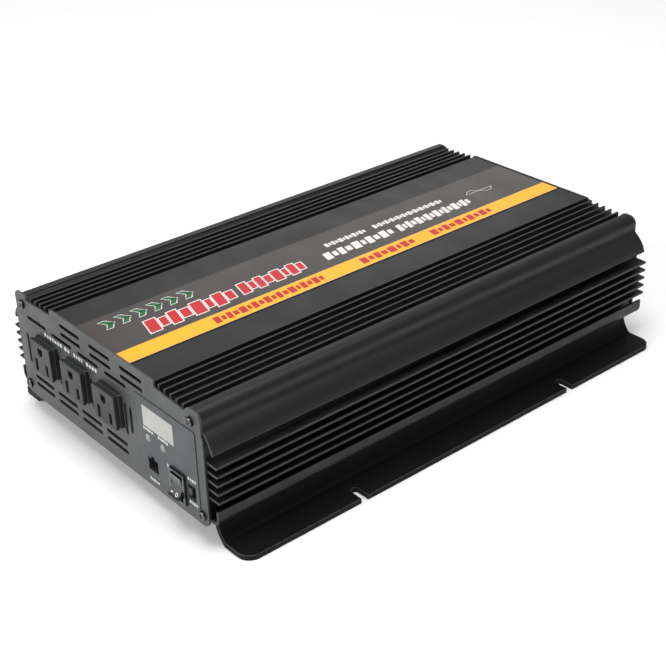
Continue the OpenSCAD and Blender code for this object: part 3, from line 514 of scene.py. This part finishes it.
class Printer:
    """Lays thin shapes of ink on a flat face, in millimetres along its two axes."""

    def __init__(self, origin: Vector, along: Vector, up: Vector, height_mm: float) -> None:
        """Sets the face that is printed.

        Args:
            origin: Point of the face, in metres, from which shapes are placed.
            along: Unit vector that lines of print run along.
            up: Unit vector that is up for the reader.
            height_mm: Thickness of the ink.
        """
        out = along.cross(up)
        self.place = Matrix.Translation(origin) @ Matrix(
            (along, up, out)).transposed().to_4x4()
        self.height = height_mm
        self.bm = bmesh.new()

    def bar(self, x: float, y: float, w: float, h: float, slant: float = 0.0,
            round_r: float = 0.0, turn: float = 0.0, lift: float = 0.0) -> None:
        """Prints one bar.

        Args:
            x: Middle of the bar along the line.
            y: Middle of the bar across the line.
            w: Width.
            h: Height.
            slant: How far the top leans forward.
            round_r: Radius of its corners.
            turn: Angle that it is turned through, in degrees.
            lift: Extra thickness, for ink printed over other ink.
        """
        made = bmesh.ops.create_grid(self.bm, x_segments=1, y_segments=1, size=0.5)
        verts = made["verts"]
        if round_r:
            corners = bmesh.ops.bevel(
                self.bm, geom=verts, offset=round_r / max(w, h), segments=4, profile=0.5,
                affect="VERTICES", material=-1, clamp_overlap=True)
            verts = list({v for f in corners["faces"] for v in f.verts}
                         | {v for v in corners["verts"]})
        self._finish(verts, x, y, w, h, slant, turn, lift)

    def _finish(self, verts: list, x: float, y: float, w: float, h: float, slant: float,
                turn: float, lift: float) -> None:
        """Sizes and places flat vertices, then gives them the ink's thickness.

        Args:
            verts: Vertices of one new flat shape.
            x: Middle of the shape along the line.
            y: Middle of the shape across the line.
            w: What its width is multiplied by.
            h: What its height is multiplied by.
            slant: How far the top leans forward.
            turn: Angle that it is turned through, in degrees.
            lift: Extra thickness.
        """
        shear = Matrix.Identity(4)
        shear[0][1] = slant / max(h, 1e-6)
        flat = (Matrix.Translation((x, y, 0)) @ Matrix.Rotation(math.radians(turn), 4, "Z")
                @ shear @ Matrix.Diagonal((w, h, 1, 1)))
        bmesh.ops.transform(self.bm, matrix=flat, verts=verts)
        faces = list({f for v in verts for f in v.link_faces})
        raised = bmesh.ops.extrude_face_region(self.bm, geom=faces)
        top = [g for g in raised["geom"] if isinstance(g, bmesh.types.BMVert)]
        bmesh.ops.translate(self.bm, vec=(0, 0, self.height + lift), verts=top)
        both = list(set(verts) | set(top))
        scale = Matrix.Scale(MM, 4)
        bmesh.ops.transform(self.bm, matrix=self.place @ scale, verts=both)

    def ring(self, x: float, y: float, r_out: float, r_in: float, lift: float = 0.0) -> None:
        """Prints a ring.

        Args:
            x: Middle along the line.
            y: Middle across the line.
            r_out: Outer radius.
            r_in: Inner radius.
            lift: Extra thickness.
        """
        outer = bmesh.ops.create_circle(self.bm, radius=r_out, segments=40)["verts"]
        inner = bmesh.ops.create_circle(self.bm, radius=r_in, segments=40)["verts"]
        edges = list({e for v in outer + inner for e in v.link_edges})
        bmesh.ops.bridge_loops(self.bm, edges=edges)
        self._finish(outer + inner, x, y, 1, 1, 0, 0, lift)

    def wave(self, x: float, y: float, length: float, rise: float, line: float) -> None:
        """Prints one period of a sine wave and its axis.

        Args:
            x: Start along the line.
            y: Height of the axis.
            length: Length of the period.
            rise: Height of the wave above its axis.
            line: Width of the line.
        """
        steps = 24
        for i in range(steps):
            a, b = i / steps, (i + 1) / steps
            ya, yb = (rise * math.sin(2 * math.pi * t) for t in (a, b))
            run = (b - a) * length
            span = math.hypot(run, yb - ya)
            self.bar(x + (a + b) / 2 * length, y + (ya + yb) / 2, span + line * 0.6, line,
                     turn=math.degrees(math.atan2(yb - ya, run)))
        self.bar(x + length / 2, y, length, line * 0.8)

    def done(self, name: str, ink: Material, slot: str, body: str = "housing") -> Object:
        """Ends the print and makes it a piece of its own.

        Args:
            name: Name of the piece.
            ink: Its material.
            slot: Material slot that the piece belongs to.
            body: CAD body that it moves with.

        Returns:
            The piece.
        """
        bmesh.ops.recalc_face_normals(self.bm, faces=self.bm.faces)
        piece = to_piece(self.bm, name, body, slot)
        dress(piece, ink)
        return piece


@dataclass(frozen=True)
class Row:
    """A row of slanted bars on the label, in millimetres."""

    start: float
    end: float
    groups: int
    middle: float
    height: float
    slant: float


BORDERED_ROWS = (Row(-163, -97, 4, -1.0, 15.0, 4.0), Row(-93, -41, 4, 0.2, 13.5, 3.5))
WHITE_ROWS = (Row(-25, 36, 5, -1.0, 9.5, 2.6), Row(39.5, 109, 8, -1.2, 9.5, 2.6),
              Row(-14, 22, 6, 12.0, 5.2, 0.8), Row(29, 94, 12, 12.2, 5.2, 0.8))
STRIPE_ROWS = (Row(-129, -43, 9, -22.0, 7.6, 1.5), Row(-12, 36, 4, -22.0, 7.6, 1.5),
               Row(51, 109, 5, -22.0, 7.6, 1.5))


@dataclass
class TopLabel:
    """The long film on the deck: a stripe and rows of plain generic marks."""

    stripe_from: float = 14.9
    stripe_to: float = 29.2
    ink_mm: float = 0.03
    white: Ink = Ink("white_label_ink", "#d9d7d2")
    red: Ink = Ink("red_label_ink", "#b80f1c")
    green: Ink = Ink("green_label_ink", "#0f5a2c")
    yellow: Ink = Ink("yellow_label_ink", "#eeac16")
    violet: Ink = Ink("violet_label_ink", "#4a4569")
    black: Ink = Ink("label_left_edge_dark", "#15110f")

    def _printer(self, lift: float = 0.0) -> Printer:
        """A printer whose lines run to the rear and whose up is to the left."""
        return Printer(Vector((0, 0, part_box("top_label")[1].z)), Vector((0, 1, 0)),
                       Vector((-1, 0, 0)), self.ink_mm + lift)

    @staticmethod
    def _blocks(pens: Sequence[tuple[Printer, float]], rows: Sequence[Row]) -> None:
        """Prints rows of slanted bars in turn wide and narrow, as a plain ornament.

        Args:
            pens: Printers, each with the border that it adds round a bar.
            rows: What is printed.
        """
        wide_shares, narrow_height, gap_share = (0.46, 0.38, 0.5, 0.42), 0.66, 0.12
        for row in rows:
            pitch = (row.end - row.start) / row.groups
            gap = pitch * gap_share
            lean = row.slant / row.height
            for pen, border in pens:
                for i in range(row.groups):
                    at = row.start + i * pitch
                    wide = pitch * wide_shares[i % len(wide_shares)]
                    thin = pitch - 2 * gap - wide
                    for x, w, tall in ((at + wide / 2, wide, row.height),
                                       (at + wide + gap + thin / 2, thin,
                                        row.height * narrow_height)):
                        grown = tall + 2 * border
                        pen.bar(x, row.middle, w + 2 * border, grown, lean * grown,
                                round_r=0.5)

    @staticmethod
    def _chevrons(sign: Printer, rim: Printer) -> None:
        """Prints a row of chevrons, each with a rim.

        Args:
            sign: Printer of the chevrons.
            rim: Printer of their rims.
        """
        count, first, pitch, middle = 6, -178.0, 11.4, 18.4
        wide, tall, lean, border = 4.2, 5.4, 4.2, 0.55
        for i in range(count):
            for pen, grow in ((rim, border), (sign, 0.0)):
                for half in (-1, 1):
                    pen.bar(first + i * pitch, middle + half * 2.4, wide + 2 * grow,
                            tall + 2 * grow, slant=-half * lean)

    def build(self, shop: Workshop) -> None:
        """Makes the prints, one piece for each ink.

        Args:
            shop: Where the inks come from.
        """
        low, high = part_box("top_label")
        y0, y1 = low.y / MM, high.y / MM
        span, centre = y1 - y0, (y0 + y1) / 2
        yellow = self._printer()
        yellow.bar(centre, -(self.stripe_from + self.stripe_to) / 2, span,
                   self.stripe_to - self.stripe_from)
        yellow.done("label_stripe", shop.get(self.yellow), "label_film")
        fringe = self._printer(0.01)
        fringe_w = 0.5
        for x in (self.stripe_from - 0.3, self.stripe_to + 0.2):
            fringe.bar(centre, -x, span, fringe_w)
        fringe.done("label_fringe", shop.get(self.violet), "label_film")
        # A thin dark line along the label's left edge.
        line, line_w = self._printer(0.01), 1.3
        line.bar(centre, -low.x / MM - line_w / 2, span, line_w)
        line.done("label_edge_line", shop.get(self.black), "label_film")
        white, red = self._printer(), self._printer(0.02)
        self._blocks([(white, 0.9), (red, 0.0)], BORDERED_ROWS)
        self._blocks([(white, 0.0)], WHITE_ROWS)
        white.wave(113.5, 6.6, length=25.0, rise=4.0, line=0.5)
        white.done("label_white_marks", shop.get(self.white), "label_film")
        red.done("label_red_blocks", shop.get(self.red), "label_film")
        on_stripe = self._printer(0.03)
        self._blocks([(on_stripe, 0.0)], STRIPE_ROWS)
        on_stripe.done("label_stripe_marks", shop.get(self.red), "label_film")
        sign, rim = self._printer(0.02), self._printer()
        self._chevrons(sign, rim)
        rim.done("label_chevron_rim", shop.get(self.white), "label_film")
        sign.done("label_chevrons", shop.get(self.green), "label_film")


@dataclass
class PanelPrint:
    """Small plain dashes beside the outlets and controls, and signs on the rear."""

    ink: Ink = Ink("white_panel_ink", "#c9cac8")
    dark: Ink = Ink("dark_outline_ink", "#24262a")

    @staticmethod
    def _row(pen: Printer, x: float, z: float, length: float, count: int,
             height: float) -> None:
        """Prints a row of short upright blocks that stands for a caption.

        Args:
            pen: The printer.
            x: Middle of the row, to the right.
            z: Middle of the row, upwards.
            length: Its length.
            count: Number of blocks.
            height: Height of the tallest.
        """
        heights, widths = (1.0, 0.82, 0.94), (0.68, 0.56)
        pitch = length / count
        for i in range(count):
            tall = height * heights[i % len(heights)]
            pen.bar(x - length / 2 + (i + 0.5) * pitch, z - (height - tall) / 2,
                    pitch * widths[i % len(widths)], tall)

    def build(self, shop: Workshop) -> None:
        """Makes the captions of both panels and the marks of the rocker.

        Args:
            shop: Where the inks come from.
        """
        self._controls(shop)
        self._outlets(shop)
        self._rocker(shop)
        self._rear(shop)

    def _controls(self, shop: Workshop) -> None:
        """Prints the captions and the outline of the control overlay.

        Args:
            shop: Where the inks come from.
        """
        low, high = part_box("control_overlay")
        pen = self._pen(low.y)
        for led in ("power_led", "fault_led"):
            at, top = self._middle(led).x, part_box(led)[1].z / MM
            self._row(pen, at + 0.6, top + 2.5, 10.4, 5, 1.9)
        self._row(pen, self._middle("remote_jack").x - 0.1,
                  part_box("remote_jack")[0].z / MM - 4.0, 10.4, 6, 1.9)
        slide = [v.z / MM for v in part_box("slide_switch_body")]
        for height in (slide[1] + 3.9, slide[0] - 2.2):
            self._row(pen, self._middle("slide_switch_body").x + 0.5, height, 8.4, 4, 1.9)
        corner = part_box("rocker_frame")
        self._row(pen, corner[0].x / MM - 1.9, corner[1].z / MM - 1.6, 2.6, 2, 2.0)
        pen.done("control_captions", shop.get(self.ink), "overlay_film")
        middle, size = (low + high) / (2 * MM), (high - low) / MM
        outline = self._pen(low.y, 0.02)
        inset, corner_gap, line = 0.35, 1.6, 0.45
        for side in (-1, 1):
            outline.bar(middle.x, middle.z + side * (size.z / 2 - inset),
                        size.x - corner_gap, line)
            outline.bar(middle.x + side * (size.x / 2 - inset), middle.z,
                        line, size.z - corner_gap)
        outline.done("overlay_outline", shop.get(self.dark), "overlay_film")

    def _outlets(self, shop: Workshop) -> None:
        """Prints one long caption close above the outlets.

        Args:
            shop: Where the ink comes from.
        """
        left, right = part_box("outlet_left")[0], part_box("outlet_right")[1]
        pen = self._pen(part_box("front_panel")[0].y)
        for share, length, count in ((0.22, 22.0, 7), (0.385, 7.4, 2), (0.512, 11.4, 4),
                                     (0.663, 13.0, 4)):
            self._row(pen, (left.x + (right.x - left.x) * share) / MM, right.z / MM + 1.9,
                      length, count, 2.6)
        pen.done("outlet_caption", shop.get(self.ink), "panel_grey")

    def _rocker(self, shop: Workshop) -> None:
        """Prints a bar and a ring on the half of the rocker that stands out.

        Args:
            shop: Where the ink comes from.
        """
        rocker = frame["nodes"]["rocker"]
        proud = [face for face in rocker.data.polygons
                 if face.normal.y < -0.6 and face.normal.z > 0.4]
        face = max(proud, key=lambda f: f.area)
        low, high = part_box("rocker")
        place = rocker.matrix_world @ face.center
        place.x = (low.x + high.x) / 2
        along = Vector((1, 0, 0))
        pen = Printer(place, along, face.normal.cross(along), 0.04)
        pen.bar(-2.4, 0.4, 1.7, 0.9)
        pen.ring(2.3, 0.3, 1.2, 0.7)
        pen.done("rocker_marks", shop.get(self.ink), "black_gloss", body="rocker")

    @staticmethod
    def _pen(y: float, height_mm: float = 0.03) -> Printer:
        """A printer on an upright face that looks to the front."""
        return Printer(Vector((0, y, 0)), Vector((1, 0, 0)), Vector((0, 0, 1)), height_mm)

    @staticmethod
    def _middle(node: str) -> Vector:
        """The middle of a node, in millimetres."""
        low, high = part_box(node)
        return (low + high) / (2 * MM)

    def _rear(self, shop: Workshop) -> None:
        """Prints a plus, a minus and an earth sign on the rear panel.

        Args:
            shop: Where the ink comes from.
        """
        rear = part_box("rear_panel")
        pen = Printer(Vector((0, rear[1].y, 0)), Vector((-1, 0, 0)), Vector((0, 0, 1)), 0.03)
        for name, crossed in (("terminal_base_positive", True),
                              ("terminal_base_negative", False)):
            low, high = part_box(name)
            x, z = -(low.x + high.x) / (2 * MM), low.z / MM - 4.2
            sign, stroke = 5.0, 1.0
            pen.bar(x, z, sign, stroke)
            if crossed:
                pen.bar(x, z, stroke, sign)
        earth_x, earth_z, stroke, pitch, stem = 25.0, 20.0, 0.6, 1.4, 3.0
        for i, wide in enumerate((5.0, 3.2, 1.4)):
            pen.bar(earth_x, earth_z - pitch * i, wide, stroke)
        pen.bar(earth_x, earth_z + 1.6, stroke, stem)
        pen.done("rear_signs", shop.get(self.ink), "panel_grey")


# ------------------------------------------------------------ rear side parts


@dataclass
class Studs:
    """Threaded brass studs of one terminal, with the nuts behind the panel.

    Sizes are in millimetres.
    """

    node: str
    radius: float = 4.0
    pitch: float = 1.25
    depth: float = 0.62
    steps: int = 20
    nut_radius: float = 6.5
    nut_thick: float = 5.5
    behind_panel: float = 2.2

    def build(self, shop: Workshop) -> Object:
        """Makes both studs with a real thread along their free length.

        Args:
            shop: Where the brass comes from.

        Returns:
            The piece that stands for the CAD studs.
        """
        low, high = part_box(self.node)
        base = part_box(self.node.replace("studs", "base"))
        centre_x = (base[0].x + base[1].x) / 2
        centre_z = (base[0].z + base[1].z) / 2
        tall = (high.z - low.z) / MM
        nut_half = self.nut_radius * math.sqrt(3) / 2
        from_centre = (tall - 2 * nut_half) / 2
        bm = bmesh.new()
        for side in (-1, 1):
            middle = Vector((centre_x, 0, centre_z + side * from_centre * MM))
            self._stud(bm, middle, low.y, high.y)
            self._nut(bm, middle)
        bmesh.ops.recalc_face_normals(bm, faces=bm.faces)
        piece = to_piece(bm, self.node + "_made", "housing", "brass", smooth=40)
        dress(piece, shop.slot("brass"))
        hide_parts(self.node)
        return piece

    def _stud(self, bm: bmesh.types.BMesh, at: Vector, y0: float, y1: float) -> None:
        """Adds one stud: a core and a helical ridge round it.

        Args:
            bm: Mesh that gets the stud.
            at: Point of its axis.
            y0: Where it starts.
            y1: Where its tip is.
        """
        r_out, r_in = self.radius * MM, (self.radius - self.depth) * MM
        core_r = r_in + 0.06 * MM
        length = y1 - y0
        core = bmesh.ops.create_cone(bm, cap_ends=True, segments=48, radius1=core_r,
                                     radius2=core_r, depth=length)["verts"]
        turn = Matrix.Rotation(math.radians(-90), 4, "X")
        bmesh.ops.transform(bm, matrix=Matrix.Translation((at.x, (y0 + y1) / 2, at.z)) @ turn,
                            verts=core)
        tips = [e for e in {e for v in core for e in v.link_edges}
                if all(abs(v.co.y - y1) < 1e-6 for v in e.verts)]
        bmesh.ops.bevel(bm, geom=tips, offset=0.7 * MM, segments=2, profile=0.5,
                        affect="EDGES", material=-1)
        plain_end, first_turn, foot_share, crest_share = 1.6 * MM, 0.4 * MM, 0.46, 0.16
        turns = int((length - plain_end) / (self.pitch * MM)) - 1
        half = self.pitch * MM * foot_share
        crest = half * crest_share
        points = [(r_in, -half), (r_out, -crest), (r_out, crest), (r_in, half)]
        ring = [bm.verts.new((at.x + r, y0 + first_turn + half + dy, at.z))
                for r, dy in points]
        ridge = [bm.edges.new((ring[i], ring[i + 1])) for i in range(3)]
        bmesh.ops.spin(bm, geom=ring + ridge, cent=at, axis=(0, 1, 0),
                       dvec=(0, self.pitch * MM / self.steps, 0),
                       angle=math.radians(360 * turns), steps=self.steps * turns)

    def _nut(self, bm: bmesh.types.BMesh, at: Vector) -> None:
        """Adds the hexagon nut that holds a stud behind the panel.

        Args:
            bm: Mesh that gets the nut.
            at: Point of the stud's axis.
        """
        nut = bmesh.ops.create_cone(bm, cap_ends=True, segments=6,
                                    radius1=self.nut_radius * MM,
                                    radius2=self.nut_radius * MM,
                                    depth=self.nut_thick * MM)["verts"]
        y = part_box("rear_panel")[0].y - (self.behind_panel + self.nut_thick / 2) * MM
        turn = Matrix.Rotation(math.radians(-90), 4, "X")
        bmesh.ops.transform(bm, matrix=Matrix.Translation((at.x, y, at.z)) @ turn, verts=nut)
        rims = list({e for v in nut for e in v.link_edges})
        bmesh.ops.bevel(bm, geom=rims, offset=0.4 * MM, segments=2, profile=0.5,
                        affect="EDGES", material=-1)


@dataclass
class FanRotor:
    """A fan rotor with a domed hub and swept, curved blades."""

    side: str
    blades: int = 7
    bore_mm: float = 2.56
    hub_mm: float = 13.5
    tip_mm: float = 26.3
    blade_mm: float = 1.1
    camber_mm: float = 2.2
    sweep: float = 34.0
    pitch_root: float = 42.0
    pitch_tip: float = 24.0

    def build(self, shop: Workshop) -> Object:
        """Makes the rotor.

        Args:
            shop: Where its plastic comes from.

        Returns:
            The piece that stands for the CAD rotor.
        """
        node = "fan_rotor_" + self.side
        low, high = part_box(node)
        joint = next(j for j in frame["joints"] if j["name"] == f"fan_{self.side}_spin")
        axis_at = Vector(joint["pos_m"])
        mid_y = (low.y + high.y) / 2
        bm = bmesh.new()
        self._hub(bm, low.y - mid_y, high.y - mid_y)
        for i in range(self.blades):
            self._blade(bm, 360.0 * i / self.blades, (high.y - low.y) - 1.6 * MM)
        bmesh.ops.translate(bm, vec=(axis_at.x, mid_y, axis_at.z), verts=bm.verts)
        bmesh.ops.recalc_face_normals(bm, faces=bm.faces)
        piece = to_piece(bm, node + "_made", "fan_" + self.side, "black_plastic", smooth=35)
        dress(piece, shop.slot("black_plastic"))
        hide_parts(node)
        return piece

    def _hub(self, bm: bmesh.types.BMesh, y0: float, y1: float) -> None:
        """Spins the hub's side view, with a bore for the pin and a dimple in front.

        Args:
            bm: Mesh that gets the hub.
            y0: Where the hub starts.
            y1: Where it ends.
        """
        r, bore = self.hub_mm * MM, self.bore_mm * MM
        line = [(bore, y0), (r - 0.6 * MM, y0), (r, y0 + 0.6 * MM), (r, y1 - 1.6 * MM),
                (r - 0.5 * MM, y1 - 0.5 * MM), (r - 1.7 * MM, y1), (9.2 * MM, y1),
                (8.8 * MM, y1 - 0.35 * MM), (bore, y1 - 0.35 * MM)]
        verts = [bm.verts.new((x, y, 0)) for x, y in line]
        edges = [bm.edges.new((verts[i], verts[(i + 1) % len(verts)]))
                 for i in range(len(verts))]
        bmesh.ops.spin(bm, geom=verts + edges, cent=(0, 0, 0), axis=(0, 1, 0),
                       angle=math.tau, steps=64, use_merge=True)
        bmesh.ops.remove_doubles(bm, verts=bm.verts, dist=0.001 * MM)

    def _blade(self, bm: bmesh.types.BMesh, turn: float, width: float) -> None:
        """Adds one blade: a thin plate, cambered, twisted and swept towards its tip.

        Args:
            bm: Mesh that gets the blade.
            turn: Where the blade stands round the hub, in degrees.
            width: Length of the hub that the blade covers, in metres.
        """
        plate = bmesh.new()
        bmesh.ops.create_grid(plate, x_segments=8, y_segments=10, size=0.5)
        inner, outer = (self.hub_mm - 0.8) * MM, self.tip_mm * MM
        for v in plate.verts:
            across, share = v.co.x, v.co.y + 0.5
            radius = inner + (outer - inner) * share
            pitch = math.radians(self.pitch_root + (self.pitch_tip - self.pitch_root) * share)
            chord = width * 0.94 / math.sin(math.radians(self.pitch_root))
            camber = self.camber_mm * MM * (0.25 - across * across)
            along = across * chord * math.sin(pitch) + camber * math.cos(pitch)
            around = across * chord * math.cos(pitch) - camber * math.sin(pitch)
            angle = (math.radians(turn) + around / radius
                     + math.radians(self.sweep) * (share * share - 0.5 * share))
            v.co = Vector((radius * math.sin(angle), along, radius * math.cos(angle)))
        bmesh.ops.recalc_face_normals(plate, faces=plate.faces)
        bmesh.ops.solidify(plate, geom=plate.faces[:], thickness=self.blade_mm * MM)
        mesh = bpy.data.meshes.new("blade")
        plate.to_mesh(mesh)
        plate.free()
        bm.from_mesh(mesh)
        bpy.data.meshes.remove(mesh)


# ------------------------------------------------------- camera and the studio


@dataclass(frozen=True)
class Viewpoint:
    """Where the camera stands, in millimetres and degrees."""

    place: tuple[float, float, float] = (604.45, -519.03, 469.70)
    azimuth: float = 50.42
    elevation: float = 29.27
    roll: float = -1.68
    lens: float = 71.85

    def build(self) -> None:
        """Makes the scene's camera."""
        az, el, roll = (math.radians(v) for v in (self.azimuth, self.elevation, self.roll))
        back = Vector((math.sin(az) * math.cos(el), -math.cos(az) * math.cos(el),
                       math.sin(el)))
        right = (-back).cross(Vector((0, 0, 1))).normalized()
        up = right.cross(-back)
        across = math.cos(roll) * right + math.sin(roll) * up
        upward = math.cos(roll) * up - math.sin(roll) * right
        data = bpy.data.cameras.new("camera")
        data.lens = self.lens
        data.sensor_width = 36.0
        data.clip_start, data.clip_end = 0.01, 50.0
        camera = bpy.data.objects.new("camera", data)
        turn = Matrix((across, upward, back)).transposed().to_4x4()
        camera.matrix_world = Matrix.Translation(size_in(self.place)) @ turn
        bpy.context.scene.collection.objects.link(camera)
        bpy.context.scene.camera = camera


@dataclass(frozen=True)
class SoftBox:
    """A rectangular studio light that looks at the object."""

    name: str
    place: tuple[float, float, float]
    size: tuple[float, float]
    power: float
    aim: tuple[float, float, float] = (0.0, 0.0, 0.05)
    colour: str = "#ffffff"

    def build(self) -> None:
        """Makes the light."""
        data = bpy.data.lights.new(self.name, "AREA")
        data.shape = "RECTANGLE"
        data.size, data.size_y = self.size
        data.energy = self.power
        data.color = linear(self.colour)[:3]
        lamp = bpy.data.objects.new(self.name, data)
        lamp.location = Vector(self.place)
        look = Vector(self.aim) - Vector(self.place)
        lamp.rotation_euler = look.to_track_quat("-Z", "Y").to_euler()
        bpy.context.scene.collection.objects.link(lamp)


@dataclass
class Studio:
    """A pale floor under soft light from above, from behind and from the side."""

    floor_half: float = 6.0
    sky: str = "#f4f5f6"
    sky_power: float = 0.32
    boxes: list[SoftBox] = field(default_factory=lambda: [
        SoftBox("overhead", (0.2, -0.1, 2.2), (1.6, 1.6), 44.0),
        SoftBox("front_left", (-0.3, -1.9, 1.0), (1.4, 1.0), 30.0),
        SoftBox("rear_left", (-1.9, 1.5, 1.0), (1.4, 0.8), 4.5),
    ])

    def build(self) -> None:
        """Makes the floor, the sky and the lights."""
        bm = bmesh.new()
        bmesh.ops.create_grid(bm, x_segments=1, y_segments=1, size=self.floor_half)
        mesh = bpy.data.meshes.new("floor")
        bm.to_mesh(mesh)
        bm.free()
        floor = bpy.data.objects.new("floor", mesh)
        bpy.context.scene.collection.objects.link(floor)
        dress(floor, Finish("pale_floor", "#fbfbfb", "#f9f9f9", 0.7, relief_mm=0.0).make())
        world = bpy.data.worlds.new("studio")
        world.use_nodes = True
        sky = world.node_tree.nodes["Background"]
        sky.inputs["Color"].default_value = linear(self.sky)
        sky.inputs["Strength"].default_value = self.sky_power
        bpy.context.scene.world = world
        for box in self.boxes:
            box.build()


# ----------------------------------------------------------------------- main


def dress_cad(shop: Workshop) -> dict[str, str]:
    """Gives each CAD node the finish of its slot.

    Args:
        shop: Where the materials come from.

    Returns:
        Node name to slot name.
    """
    slots = {row["node"]: row["material_slot"] for row in frame["record"]["subparts"]}
    for name, piece in frame["nodes"].items():
        dress(piece, shop.slot(slots[name]))
    return slots


def main() -> None:
    logging.basicConfig(level=logging.INFO, format="%(message)s")
    Viewpoint().build()
    Studio().build()
    shop = Workshop()
    slots = dress_cad(shop)
    for part in SOFTENED:
        part.build(shop, slots)
    TopLabel().build(shop)
    PanelPrint().build(shop)
    for node in ("terminal_studs_positive", "terminal_studs_negative"):
        Studs(node).build(shop)
    for side in ("left", "right"):
        FanRotor(side).build(shop)
    bpy.context.scene.view_settings.view_transform = "Standard"


if __name__ == "__main__":
    main()
